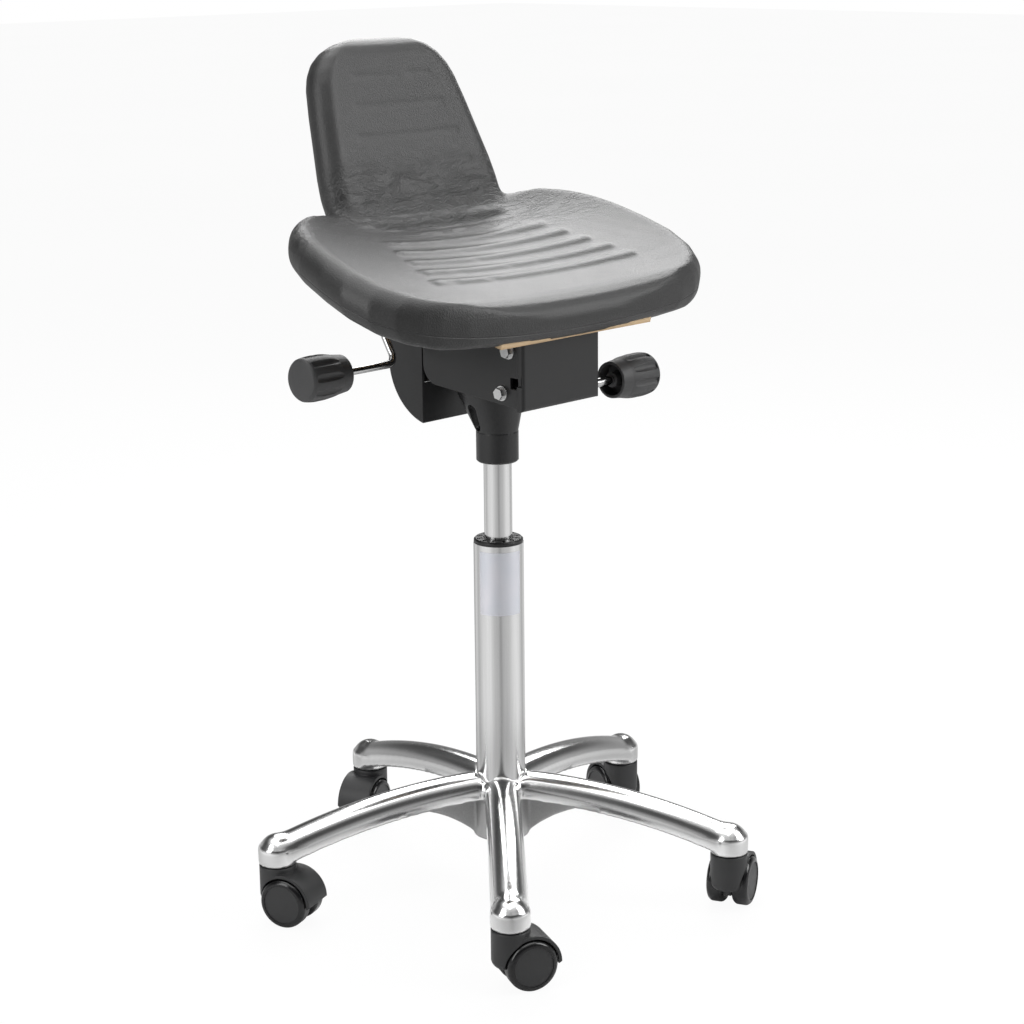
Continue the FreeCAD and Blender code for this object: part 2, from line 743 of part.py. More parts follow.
def make_rear_cover():
    """Fan-shaped shell about the tilt pivot, with the saddle that carries the height lever."""
    body = new_body("rear_cover")
    radius = size("rear_cover_radius")
    face = size("rear_cover_face")
    wall = size("rear_cover_wall")
    top = size("rear_cover_top")
    side_top = size("rear_cover_side_top")

    def fan(inset, low_cut):
        rim = radius - inset
        front = face + inset
        drop = root_of(rim * rim - (front - pivot_back) * (front - pivot_back))
        reach = root_of(rim * rim - (top - pivot_height) * (top - pivot_height))
        lower = (front, pivot_height - drop, rim)
        back = (pivot_back + rim, pivot_height, rim)
        upper = (pivot_back + reach, top + low_cut)
        if low_cut:
            return [lower, back, (pivot_back + rim, top + low_cut), (front, top + low_cut)]
        return [lower, back, upper, (front, top)]

    extrude(body, "Pad", draw_outline(plane_sketch(body, "YZ_Plane"), fan(size("rear_cover_wall") * 0, 0)),
            size("rear_cover_width"))
    extrude(body, "Pocket", draw_outline(plane_sketch(body, "YZ_Plane"), fan(wall, 1)),
            size("rear_cover_width") - wall * 2)
    opening = draw_outline(plane_sketch(body, "YZ_Plane"), [
        (face - 1, side_top), (face + wall + 1, side_top), (face + wall + 1, top + 1), (face - 1, top + 1)])
    extrude(body, "Pocket", opening, size("rear_cover_width") - wall * 2)
    rise = size("lever_rise_height")
    side = size("lever_saddle_side")
    back = size("lever_saddle_back")
    half = size("rear_cover_width") / 2
    saddle = draw_outline(plane_sketch(body, "XY_Plane", top - 20), [
        (-half + wall, back - 6), (side + 4, back - 6), (side + 4, back + 6), (-half + wall, back + 6)])
    extrude(body, "Pad", saddle, rise - top + 27, symmetric=False)
    rod_hole = plane_sketch(body, "YZ_Plane", side)
    across = size("lever_inner_side") - size("lever_knee")
    along = size("lever_rise_back") - size("lever_inner_back")
    lean = angle_of(along / root_of(across * across + along * along))
    rod_hole.AttachmentOffset = FreeCAD.Placement(
        Vector(back.value, rise.value, side.value), FreeCAD.Rotation(Vector(0, 1, 0), -lean.value))
    rod_hole.setExpression("AttachmentOffset.Base.x", back.text)
    rod_hole.setExpression("AttachmentOffset.Base.y", rise.text)
    draw_circle(rod_hole, 0, 0, size("lever_rod_diameter") / 2 + size("lever_clearance"))
    extrude(body, "Pocket", rod_hole, 30)


def make_caster(name, number):
    """One twin-wheel caster: stem, hood with mudguard, axle and two wheels."""
    bearing = size("leg_bearing") + 360 / size("leg_count") * number
    reach = size("stem_circle_radius")
    x = reach * trig("cos", bearing)
    y = reach * trig("sin", bearing)
    trail = size("trail")
    hood_radius = size("hood_diameter") / 2
    hood_low = size("hood_bottom")
    hood_edge = size("hood_edge_radius")
    hood_top = caster_height - size("hood_gap")
    web_half = size("web_thickness") / 2
    axle_radius = size("axle_diameter") / 2
    wheel_inner = web_half + size("wheel_side_gap")
    wheel_outer = wheel_inner + size("wheel_width")
    axle_half = wheel_outer - size("axle_end_gap")
    pieces = []

    flange_radius = size("stem_flange_diameter") / 2
    stem_low = hood_top - size("stem_grip")
    pieces.append(turned_piece("stem_" + name, [
        (stem_radius * 0, stem_low), (stem_radius, stem_low), (stem_radius, hood_top),
        (flange_radius, hood_top), (flange_radius, caster_height), (stem_radius, caster_height),
        (stem_radius, caster_height + size("stem_depth") - 2),
        (stem_radius - 1, caster_height + size("stem_depth") - 1),
        (stem_radius * 0, caster_height + size("stem_depth") - 1)]))

    hood = turned_piece("hood_" + name, [
        (hood_radius * 0, hood_low), (hood_radius - hood_edge, hood_low, hood_edge),
        (hood_radius, hood_low + hood_edge), (hood_radius, hood_top - 1), (hood_radius - 1, hood_top),
        (hood_radius * 0, hood_top)])
    guard_radius = wheel_radius + size("wheel_top_gap") + size("guard_wall")
    web_back = size("web_back")
    web_low = size("web_bottom")
    guard_height = wheel_radius + root_of(guard_radius * guard_radius - (trail - web_back) * (trail - web_back))
    guard = draw_outline(plane_sketch(hood, "XZ_Plane"), [
        (web_back, web_low), (size("web_front"), web_low),
        (trail + guard_radius, wheel_radius, guard_radius), (web_back, guard_height)])
    extrude(hood, "Pad", guard, size("guard_width"))
    well_radius = wheel_radius + size("wheel_top_gap")
    for side in (1, -1):
        well = plane_sketch(hood, "XZ_Plane", web_half * -side)
        draw_circle(well, trail, wheel_radius, well_radius)
        extrude(hood, "Pocket", well, hood_radius * 2, symmetric=False, reverse=side < 0)
    axle_hole = draw_circle(plane_sketch(hood, "XZ_Plane"), trail, wheel_radius, axle_radius)
    extrude(hood, "Pocket", axle_hole, web_half * 4)
    stem_hole = draw_circle(plane_sketch(hood, "XY_Plane", hood_top), 0, 0, stem_radius)
    extrude(hood, "Pocket", stem_hole, size("stem_grip"), symmetric=False)
    pieces.append(hood)

    axle = new_body("axle_" + name)
    extrude(axle, "Pad", draw_circle(plane_sketch(axle, "XZ_Plane"), trail, wheel_radius, axle_radius),
            axle_half * 2)
    pieces.append(axle)

    edge = size("wheel_edge_radius")
    bore = axle_radius + clearance
    disc = trail + size("wheel_disc_diameter") / 2
    for label, side in (("left", 1), ("right", -1)):
        wheel = new_body("wheel_%s_%s" % (name, label))
        outline = draw_outline(plane_sketch(wheel, "XY_Plane", wheel_radius), [
            (trail + bore, wheel_inner * side),
            (trail + wheel_radius - edge, wheel_inner * side, edge * side),
            (trail + wheel_radius, (wheel_inner + edge) * side),
            (trail + wheel_radius, (wheel_outer - edge) * side, edge * side),
            (trail + wheel_radius - edge, wheel_outer * side), (disc, wheel_outer * side),
            (disc, (wheel_outer - 0.8) * side), (trail, (wheel_outer - 0.8) * side),
            (trail, (axle_half + 0.5) * side), (trail + bore, (axle_half + 0.5) * side)])
        turn_about(wheel, "Revolution", outline, [trail, trail], [0, 1])
        pieces.append(wheel)
    for piece in pieces:
        place(piece, x, y, 0, size("trail_" + name))


def make_housing_bolts():
    """Four hexagon bolts with washers, two on each side of the housing."""
    body = new_body("housing_bolts")
    washer = size("bolt_washer_thickness")
    hexagon_radius = size("bolt_flat_width") / math.sqrt(3)
    for side in (1, -1):
        for start, length, kind in (
                (housing_half - size("bolt_length"), size("bolt_length") + washer, "shank"),
                (housing_half, washer, "washer"),
                (housing_half + washer, size("bolt_head_height"), "head")):
            sketch = plane_sketch(body, "YZ_Plane", start * side)
            for across, up in bolt_places():
                if kind == "shank":
                    draw_circle(sketch, across, up, size("bolt_diameter") / 2)
                elif kind == "washer":
                    draw_circle(sketch, across, up, size("bolt_washer_diameter") / 2)
                else:
                    corners = [math.radians(60 * index + 12) for index in range(6)]
                    draw_outline(sketch, [(across + hexagon_radius * math.cos(corner),
                                           up + hexagon_radius * math.sin(corner)) for corner in corners])
            extrude(body, "Pad", sketch, length, symmetric=False, reverse=side < 0)


def make_tilt_pivot():
    """Cross pin in the housing, the two bushes that turn on it, and the torsion spring round it."""
    pin_radius = size("pivot_pin_diameter") / 2
    pin = new_body("tilt_pin")
    outline = draw_outline(plane_sketch(pin, "XY_Plane", pivot_height), [
        (-housing_inner_half, pivot_back), (housing_inner_half, pivot_back),
        (housing_inner_half, pivot_back + pin_radius), (-housing_inner_half, pivot_back + pin_radius)])
    turn_about(pin, "Revolution", outline, [0, 1], [pivot_back, pivot_back])
    bushes = new_body("pivot_bushes")
    for side in (1, -1):
        outer = arm_outer * side
        inner = (arm_outer - size("arm_thickness")) * side
        ends = (inner, outer) if side > 0 else (outer, inner)
        low = pivot_back + pin_radius + clearance
        high = pivot_back + pin_radius + size("bush_wall")
        ring = draw_outline(plane_sketch(bushes, "XY_Plane", pivot_height), [
            (ends[0], low), (ends[1], low), (ends[1], high), (ends[0], high)])
        turn_about(bushes, "Revolution", ring, [0, 1], [pivot_back, pivot_back])

    wire = value_of(size("spring_wire"))
    coil = value_of(pin_radius + size("spring_play")) + wire / 2
    turns = value_of(size("spring_turns")) + 0.5
    pitch = wire * 1.35
    centre = Vector(-pitch * turns / 2, pivot_back.value, pivot_height.value)
    # The coil starts at the bottom and ends at the top, so both legs point to the front
    along = FreeCAD.Rotation(Vector(0, 0, 1), Vector(1, 0, 0))
    start_angle = FreeCAD.Rotation(Vector(1, 0, 0), 0)
    helix = Part.makeHelix(pitch, pitch * turns, coil)
    helix.Placement = FreeCAD.Placement(centre, start_angle * along)
    first = helix.Edges[0].firstVertex().Point
    last = helix.Edges[-1].lastVertex().Point
    section = Part.Wire(Part.makeCircle(wire / 2, first, helix.Edges[0].tangentAt(helix.Edges[0].FirstParameter)))
    spring = Part.Wire(helix.Edges).makePipeShell([section], True, True)
    forward = Vector(0, -1, 0)
    for point, reach in ((first, 31), (last, 62)):
        leg = Part.makeCylinder(wire / 2, reach, point, forward)
        spring = spring.fuse([leg, Part.makeSphere(wire / 2, point)])
    shape_piece("tilt_spring", spring.removeSplitter())


def make_lever():
    """Bent rod that presses the release pin when its outer end is lifted."""
    radius = size("lever_rod_diameter").value / 2
    height = size("lever_height").value
    rise = size("lever_rise_height").value
    back = size("lever_back").value
    knee = size("lever_knee").value
    tip = size("gas_cylinder_top").value + size("release_pin_height").value + size("lever_tip_gap").value
    corners = [
        Vector(size("lever_grip_end").value + 8, back, height),
        Vector(knee, back, height),
        Vector(knee, size("lever_rise_back").value, rise),
        Vector(size("lever_inner_side").value, size("lever_inner_back").value, rise),
        Vector(0, 0, rise),
        Vector(0, 0, tip)]
    bend = size("lever_bend_radius").value
    edges = []
    start = corners[0]
    for index in range(1, len(corners) - 1):
        before = (corners[index - 1] - corners[index]).normalize()
        after = (corners[index + 1] - corners[index]).normalize()
        half_angle = before.getAngle(after) / 2
        setback = bend / math.tan(half_angle)
        first = corners[index] + before * setback
        last = corners[index] + after * setback
        middle_way = (before + after).normalize()
        middle = corners[index] + middle_way * (bend / math.sin(half_angle) - bend)
        edges.append(Part.makeLine(start, first))
        edges.append(Part.Arc(first, middle, last).toShape())
        start = last
    edges.append(Part.makeLine(start, corners[-1]))
    section = Part.Wire(Part.makeCircle(radius, corners[0], corners[1] - corners[0]))
    shape_piece("height_lever", Part.Wire(edges).makePipeShell([section], True, False))


def handle_outline(length, bore, hub):
    """Half outline of a barrel-shaped handle whose outer end is domed."""
    widest = size("grip_diameter") / 2
    rim = widest * 0.86
    dome = size("grip_dome")
    dome_radius = (rim * rim + dome * dome) / (dome * 2)
    return [(bore, length * 0), (widest * 0.83, length * 0), (widest * 0.9, length * 0.24, widest * 3),
            (widest, length * 0.62, widest * 3), (widest * 0.95, length * 0.95, widest * 0.35),
            (rim, length, dome_radius), (length * 0, length + dome), (length * 0, hub), (bore, hub)]


def cut_flutes(body, start, length):
    """Shallow lengthwise hollows round a handle."""
    widest = size("grip_diameter") / 2
    hollow = size("flute_radius")
    sketch = plane_sketch(body, "XY_Plane", start)
    draw_circle(sketch, widest + hollow - size("flute_depth"), 0, hollow)
    cut = extrude(body, "Pocket", sketch, length, symmetric=False, reverse=True)
    polar_pattern(body, [cut], size("flute_count"))


def make_handles():
    """Grip on the lever, and the tilt knob on its spindle."""
    grip_length = size("lever_grip_start") - size("lever_grip_end")
    rod = size("lever_rod_diameter") / 2
    grip = new_body("lever_grip")
    turn(grip, "Revolution", draw_outline(plane_sketch(grip, "XZ_Plane"), handle_outline(
        grip_length, rod, grip_length - 8)))
    cut_flutes(grip, grip_length * 0.2, grip_length * 0.72)
    place(grip, size("lever_grip_start"), size("lever_back"), size("lever_height"), -90, (0, 1, 0))

    knob_length = size("knob_length")
    knob = new_body("tilt_knob")
    hub_radius = size("knob_hub_diameter") / 2
    bore_depth = size("knob_bore_depth")
    turn(knob, "Revolution", draw_outline(plane_sketch(knob, "XZ_Plane"), handle_outline(
        knob_length, size("knob_bore") / 2, bore_depth)))
    hub = draw_circle(plane_sketch(knob, "XY_Plane", 1), 0, 0, hub_radius)
    extrude(knob, "Pad", hub, bore_depth, symmetric=False)
    spindle_radius = size("spindle_diameter") / 2
    spindle_hole = draw_circle(plane_sketch(knob, "XY_Plane"), 0, 0, spindle_radius)
    extrude(knob, "Pocket", spindle_hole, knob_length * 0.5, symmetric=False, reverse=True)
    cut_flutes(knob, knob_length * 0.3, knob_length * 0.62)
    place(knob, size("knob_start"), size("knob_back"), size("knob_height"), 90, (0, 1, 0))

    spindle = new_body("tilt_spindle")
    start = -housing_inner_half + 4
    end = size("knob_start") + knob_length * 0.5
    extrude(spindle, "Pad", draw_circle(plane_sketch(spindle, "YZ_Plane", start), size("knob_back"),
                                        size("knob_height"), spindle_radius),
            end - start, symmetric=False)


def slope_place(body):
    """Lays a piece drawn flat on the seat's sloping centre line."""
    place(body, 0, 0, size("seat_level"), size("seat_slope"), (1, 0, 0))


def draw_plate(sketch, margin):
    half = size("plate_width") / 2 + margin
    front = size("plate_front") - margin
    back = size("plate_back") + margin
    return draw_outline(sketch, [(-half, front), (half, front), (half, back), (-half, back)])


def screw_places():
    half = size("plate_width") / 2 - size("screw_inset")
    front = size("plate_front") + size("screw_inset")
    back = size("plate_back") - size("screw_inset")
    return [(half, front), (-half, front), (half, back), (-half, back)]


def make_seat_carrier():
    """Steel plate with two arms down to the tilt pin, the board above it and its screws."""
    under = -size("seat_thickness")
    low = under - size("plate_thickness")
    plate = new_body("seat_plate")
    extrude(plate, "Pad", draw_plate(plane_sketch(plate, "XY_Plane", low), size("plate_thickness") * 0),
            size("plate_thickness"), symmetric=False)
    sine = trig("sin", size("seat_slope"))
    cosine = trig("cos", size("seat_slope"))
    drop = pivot_height - size("seat_level")
    along = pivot_back * cosine + drop * sine
    down = drop * cosine - pivot_back * sine
    boss = size("arm_width") / 2
    back = size("plate_back")
    for side in (1, -1):
        outer = arm_outer * side
        arm = draw_outline(plane_sketch(plate, "YZ_Plane", outer), [
            (along - boss, down, boss), (along, down - boss, boss), (along + boss, down), (back, low),
            (back - 80, low)])
        extrude(plate, "Pad", arm, size("arm_thickness"), symmetric=False, reverse=side > 0)
    pin_hole = draw_circle(plane_sketch(plate, "YZ_Plane"), along, down,
                           size("pivot_pin_diameter") / 2 + size("bush_wall"))
    extrude(plate, "Pocket", pin_hole, housing_inner_half * 2)
    holes = plane_sketch(plate, "XY_Plane", low - 1)
    for across, reach in screw_places():
        draw_circle(holes, across, reach, size("screw_diameter") / 2)
    extrude(plate, "Pocket", holes, size("plate_thickness") + 2, symmetric=False, reverse=True)
    slope_place(plate)

    board = new_body("seat_board")
    extrude(board, "Pad", draw_plate(plane_sketch(board, "XY_Plane", under), size("core_margin")),
            size("core_thickness"), symmetric=False)
    holes = plane_sketch(board, "XY_Plane", under)
    for across, reach in screw_places():
        draw_circle(holes, across, reach, size("screw_diameter") / 2)
    extrude(board, "Pocket", holes, size("screw_length") - size("plate_thickness"), symmetric=False,
            reverse=True)
    slope_place(board)

    screws = new_body("seat_screws")
    for kind, start, length in (("head", low - size("screw_head_height"), size("screw_head_height")),
                                ("shank", low, size("screw_length"))):
        sketch = plane_sketch(screws, "XY_Plane", start)
        for across, reach in screw_places():
            draw_circle(sketch, across, reach, size("screw_%sdiameter" % ("head_" if kind == "head" else "")) / 2)
        extrude(screws, "Pad", sketch, length, symmetric=False)
    slope_place(screws)


def shell_frame(reach):
    """Point on the sitter's side of the shell's centre line, with the unit vectors along it and out
    of it. The reach is measured from the corner of seat and back, negative towards the front."""
    slope = math.radians(value_of(size("seat_slope")))
    lean = math.radians(90 - value_of(size("back_lean")))
    corner_back = value_of(size("seat_corner_back"))
    corner = Vector(0, corner_back, value_of(size("seat_level")) + corner_back * math.tan(slope))
    radius = value_of(size("seat_bend_radius"))
    setback = radius * math.tan((lean - slope) / 2)
    if abs(reach) < setback:
        angle = slope + (lean - slope) * (reach + setback) / (2 * setback)
        start = corner - Vector(0, math.cos(slope), math.sin(slope)) * setback
        centre = start + Vector(0, -math.sin(slope), math.cos(slope)) * radius
        point = centre + Vector(0, math.sin(angle), -math.cos(angle)) * radius
    else:
        angle = slope if reach < 0 else lean
        point = corner + Vector(0, math.cos(angle), math.sin(angle)) * reach
    return point, Vector(0, math.cos(angle), math.sin(angle)), Vector(0, -math.sin(angle), math.cos(angle))


def rim_line(turn_angle):
    """A place on the centre line of the pan's rolled rim, at an angle round the seat."""
    middle = value_of(size("rim_middle_back"))
    cosine, sine = math.cos(turn_angle), math.sin(turn_angle)
    if sine < 0:
        reach, power = middle - value_of(size("rim_front")), 2 / value_of(size("rim_front_squareness"))
    else:
        reach, power = value_of(size("rim_back")) - middle, 2 / value_of(size("rim_back_squareness"))
    y = middle + math.copysign(reach * abs(sine) ** power, sine)
    half = value_of(size("rim_width")) / 2 - value_of(size("rim_taper")) * (y - middle)
    x = math.copysign(half * abs(cosine) ** power, cosine)
    return x, y


def rim_height(x, y):
    """Height of the rim's centre line above the floor."""
    slope = math.tan(math.radians(value_of(size("rim_slope"))))
    y = min(max(y, value_of(size("rim_front"))), value_of(size("rim_back")))
    lifted = min(y - value_of(size("rim_lift_start")), 0)
    lift = lifted * lifted / (2 * value_of(size("rim_lift_radius")))
    return value_of(size("rim_level")) + slope * y + x * x / (2 * value_of(size("rim_hollow_radius"))) + lift


def pan_outline():
    """Places round the outside of the pan's rim on the sitter's left, from front to back."""
    radius = value_of(size("seat_rim_thickness")) / 2
    outline = []
    steps = 60
    for step in range(steps + 1):
        angle = math.pi * (step / steps - 0.5)
        x, y = rim_line(angle)
        before = rim_line(angle - 0.01)
        after = rim_line(angle + 0.01)
        along = Vector(after[0] - before[0], after[1] - before[1], 0).normalize()
        outline.append((x + along.y * radius, y - along.x * radius))
    return outline


def width_at(outline, y):
    """Half width of an outline at a place along the stool."""
    for (x0, y0), (x1, y1) in zip(outline, outline[1:]):
        if y0 <= y <= y1:
            return x0 + (x1 - x0) * (y - y0) / (y1 - y0)
    return outline[0][0] if y < outline[0][1] else outline[-1][0]


def pan_section(outline, y):
    """Half width, rim radius, height of the top at the middle, and rise of the rim above it."""
    rim = value_of(size("seat_rim_thickness")) / 2
    beyond = max(value_of(size("rim_front")) - y, y - value_of(size("rim_back")), 0)
    radius = math.sqrt(rim ** 2 - min(beyond, rim * 0.999) ** 2)
    half = max(width_at(outline, y), radius + 8)
    slope = math.tan(math.radians(value_of(size("seat_slope"))))
    top = value_of(size("seat_level")) + slope * y
    rise = rim_height(half - radius, y) + radius - top
    if beyond:
        top = rim_height(0, y) + radius
        rise = max(rim_height(half - radius, y) + radius - top, 0.4)
    return half, radius, top, max(rise, 0.4)


def cushion_section(origin, normal, half_width, rim, sag, thickness):
    """Closed outline across the shell: a hollow top, full-round rims and a rounded underside."""
    flat = half_width - rim
    across = Vector(1, 0, 0)

    def at(side, height):
        return origin + across * side + normal * height

    low = sag - 2 * rim
    diagonal = rim * math.sqrt(0.5)
    edges = [
        Part.Arc(at(-flat, sag), at(0, 0), at(flat, sag)),
        Part.Arc(at(flat, sag), at(flat + diagonal, sag - rim + diagonal), at(half_width, sag - rim)),
        Part.Arc(at(half_width, sag - rim), at(flat + diagonal, sag - rim - diagonal), at(flat, low)),
        Part.Arc(at(flat, low), at(0, -thickness), at(-flat, low)),
        Part.Arc(at(-flat, low), at(-flat - diagonal, sag - rim - diagonal), at(-half_width, sag - rim)),
        Part.Arc(at(-half_width, sag - rim), at(-flat - diagonal, sag - rim + diagonal), at(-flat, sag))]
    return Part.Wire([edge.toShape() for edge in edges])


def make_pan():
    """The seat itself: a dished cushion with a rolled rim, rounded more at the front."""
    outline = pan_outline()
    first = outline[0][1]
    last = outline[-1][1]
    slope = math.radians(value_of(size("seat_slope")))
    sections = []
    for share in (0.001, 0.012, 0.035, 0.07, 0.1, 0.16, 0.25, 0.37, 0.5, 0.65, 0.77, 0.85, 0.9, 0.945,
                  0.975, 0.99, 0.9985):
        y = first + (last - first) * share
        half, radius, top, rise = pan_section(outline, y)
        thickness = value_of(size("seat_thickness")) / math.cos(slope)
        if radius < value_of(size("seat_rim_thickness")) / 2:
            thickness = 2 * radius - 0.2
        sections.append(cushion_section(Vector(0, y, top), Vector(0, 0, 1), half, radius, rise, thickness))
    return Part.makeLoft(sections, True, True)


def make_back():
    """The back: it grows out of the pan, narrows at a waist and ends in a rounded top."""
    rim = value_of(size("back_thickness")) / 2
    top = value_of(size("seat_back_reach"))
    waist = value_of(size("waist_width")) / 2
    narrow = value_of(size("back_top_width")) / 2
    sections = []
    for reach, share, sink in (
            (-34, 1.25, 5), (-22, 1.05, 4), (-8, 0.95, 3), (8, 0.95, 2), (26, 0.98, 1), (41.5, 1, 0),
            (64, 0.85, 0), (94, 0.58, 0), (124, 0.32, 0), (top - 45, 0.02, 0), (top - 32, -0.25, 0),
            (top - 20, -0.7, 0), (top - 11, -1.3, 0), (top - 5, -2, 0), (top - 1.5, -2.85, 0),
            (top - 0.3, -3.4, 0)):
        into_rim = min(top - reach, rim)
        radius = math.sqrt(rim ** 2 - (rim - into_rim) ** 2)
        point, along, normal = shell_frame(reach)
        origin = point - normal * (rim - radius + sink)
        half = narrow + (waist - narrow) * share
        sections.append(cushion_section(origin, normal, half, radius, 0.5, 2 * radius))
    return Part.makeLoft(sections, True, True)


def make_ribs():
    """Rolls across the sitter's side, closer together and wider on the seat than on the back."""
    outline = pan_outline()
    tube = value_of(size("rib_tube_radius"))
    sunk = tube - value_of(size("rib_rise"))
    count = int(value_of(size("rib_count")))
    seat_pitch = value_of(size("seat_rib_pitch"))
    back_pitch = value_of(size("back_rib_pitch"))
    widest = value_of(size("rib_widest"))
    narrowest = value_of(size("rib_narrowest"))
    ribs = []
    reach = -value_of(size("rib_start"))
    for number in range(count):
        half_rib = widest + (narrowest - widest) * number / (count - 1) - tube
        point, along, normal = shell_frame(reach)
        half, radius, top, rise = pan_section(outline, point.y)
        pan_hollow = (half - radius) ** 2 / (2 * rise)
        hollow = pan_hollow if reach < -seat_pitch else value_of(size("back_hollow_radius"))
        middle = point - normal * (sunk + (0 if reach < -seat_pitch else 2))
        centre = middle + normal * hollow
        turned = math.degrees(half_rib / hollow)
        disc = Part.Face(Part.Wire(Part.makeCircle(tube, middle, Vector(1, 0, 0))))
        disc.rotate(centre, along, -turned)
        ribs.append(disc.revolve(centre, along, 2 * turned))
        for side in (-1, 1):
            ball = Part.makeSphere(tube, middle)
            ball.rotate(centre, along, side * turned)
            ribs.append(ball)
        reach = reach + (seat_pitch if reach < -seat_pitch / 2 else back_pitch)
    return ribs


def make_seat_shell():
    """Soft one-piece shell of pan, back and ribs, with a recess underneath for the board."""
    shell = make_pan().fuse([make_back()] + make_ribs())
    thickness = value_of(size("seat_thickness"))
    margin = value_of(size("core_margin"))
    depth = value_of(size("core_thickness"))
    long = value_of(size("plate_back")) - value_of(size("plate_front")) + 2 * margin
    wide = value_of(size("plate_width")) + 2 * margin
    recess = Part.makeBox(wide, long, 2 * depth)
    recess.translate(Vector(-wide / 2, value_of(size("plate_front")) - margin, -thickness - depth))
    recess.rotate(Vector(0, 0, 0), Vector(1, 0, 0), value_of(size("seat_slope")))
    recess.translate(Vector(0, 0, value_of(size("seat_level"))))
    shape_piece("seat_shell", shell.cut(recess).removeSplitter())


arm_outer = housing_inner_half - size("pivot_boss_length") - size("arm_gap")
CASTERS = ("front", "right_front", "right_back", "left_back", "left_front")

# Base and column
make_star_base()
make_column()
make_gas_cylinder()
for leg_number, caster_name in enumerate(CASTERS):
    make_caster(caster_name, leg_number)

# Mechanism
make_socket()
make_housing()
make_front_cover()
make_rear_cover()
make_housing_bolts()
make_tilt_pivot()
make_lever()
make_handles()

# Seat
make_seat_carrier()
make_seat_shell()

doc.recompute()

# Check every object, then write one file for each piece
for item in doc.Objects:
    if "Invalid" in item.State or "Error" in item.State:
        raise SystemExit("%s isn't valid" % item.Name)
os.makedirs("parts", exist_ok=True)
for item in doc.Objects:
    if item.TypeId not in ("PartDesign::Body", "Part::Feature"):
        continue
    if item.Shape.isNull() or not item.Shape.isValid():
        raise SystemExit("%s has no sound shape" % item.Label)
    item.Shape.exportStep("parts/%s.step" % item.Label)
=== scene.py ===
import bpy
import json
import math
from mathutils import Matrix, Vector


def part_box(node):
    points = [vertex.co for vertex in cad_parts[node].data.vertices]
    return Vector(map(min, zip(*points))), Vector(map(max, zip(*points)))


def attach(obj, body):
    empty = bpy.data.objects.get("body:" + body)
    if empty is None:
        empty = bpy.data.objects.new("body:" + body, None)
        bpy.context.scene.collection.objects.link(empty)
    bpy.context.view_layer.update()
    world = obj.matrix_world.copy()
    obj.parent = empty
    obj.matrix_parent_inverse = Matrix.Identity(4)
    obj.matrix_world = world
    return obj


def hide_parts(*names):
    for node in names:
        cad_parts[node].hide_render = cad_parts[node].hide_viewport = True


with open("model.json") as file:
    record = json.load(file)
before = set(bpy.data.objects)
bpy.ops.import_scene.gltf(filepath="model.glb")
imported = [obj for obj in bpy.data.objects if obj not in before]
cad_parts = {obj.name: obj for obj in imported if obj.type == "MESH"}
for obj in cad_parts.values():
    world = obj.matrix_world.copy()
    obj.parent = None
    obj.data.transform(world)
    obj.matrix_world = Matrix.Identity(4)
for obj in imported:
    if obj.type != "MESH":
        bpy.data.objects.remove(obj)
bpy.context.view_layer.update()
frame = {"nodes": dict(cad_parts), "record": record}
nodes = frame["nodes"]


# Shader building


class Socket:
    """One output of a shader node, which can be used in sums."""

    def __init__(self, tree, socket):
        self.tree = tree
        self.socket = socket

    def maths(self, operation, *others):
        node = self.tree.nodes.new("ShaderNodeMath")
        node.operation = operation
        for place, value in enumerate((self,) + others):
            feed(self.tree, value, node.inputs[place])
        return Socket(self.tree, node.outputs[0])

    def __add__(self, other):
        return self.maths("ADD", other)

    def __radd__(self, other):
        return self.maths("ADD", other)

    def __sub__(self, other):
        return self.maths("SUBTRACT", other)

    def __rsub__(self, other):
        return self.maths("MULTIPLY_ADD", -1.0, other)

    def __mul__(self, other):
        return self.maths("MULTIPLY", other)

    def __rmul__(self, other):
        return self.maths("MULTIPLY", other)

    def __truediv__(self, other):
        return self.maths("DIVIDE", other)

    def __pow__(self, other):
        return self.maths("POWER", other)

    def larger(self, other):
        return self.maths("MAXIMUM", other)

    def smaller(self, other):
        return self.maths("MINIMUM", other)

    def size(self):
        return self.maths("ABSOLUTE")

    def step(self, low, high):
        """0 below low and 1 above high, with a soft change between them."""
        node = self.tree.nodes.new("ShaderNodeMapRange")
        node.interpolation_type = "SMOOTHSTEP"
        for name, value in (("Value", self), ("From Min", low), ("From Max", high)):
            feed(self.tree, value, node.inputs[name])
        return Socket(self.tree, node.outputs["Result"])


def feed(tree, value, target):
    """Puts a number, a colour or another node's output into a node's input."""
    if isinstance(value, Socket):
        tree.links.new(value.socket, target)
    elif target.type == "RGBA" and not hasattr(value, "__len__"):
        target.default_value = (value, value, value, 1.0)
    elif target.type == "RGBA":
        target.default_value = (*value[:3], 1.0)
    else:
        target.default_value = value


